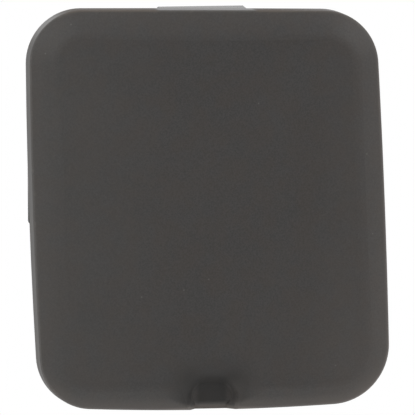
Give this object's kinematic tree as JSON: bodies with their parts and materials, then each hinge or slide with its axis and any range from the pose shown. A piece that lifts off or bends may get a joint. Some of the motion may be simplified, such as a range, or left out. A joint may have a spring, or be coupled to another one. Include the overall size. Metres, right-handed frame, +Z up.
{
  "type": "tow eye cover",
  "caption": "Rounded four-sided snap-in bumper cover with a gently domed face, a pry scoop at its lower edge, side and lower snap hooks and an upper locating tongue.",
  "frame": {"origin": "middle of the outline's extents in the seat plane, where the rim bears on the bumper skin", "axes": "+Y through the bumper skin into the vehicle, -Y outward to the viewer, +X to the viewer's right, +Z up"},
  "size_m": [0.0779, 0.0148, 0.0861],
  "materials": {
    "cover": "fine-grained matt, dark warm grey"
  },
  "bodies": {
    "root": {"tow_eye_cover": "cover"}
  },
  "joints": []
}
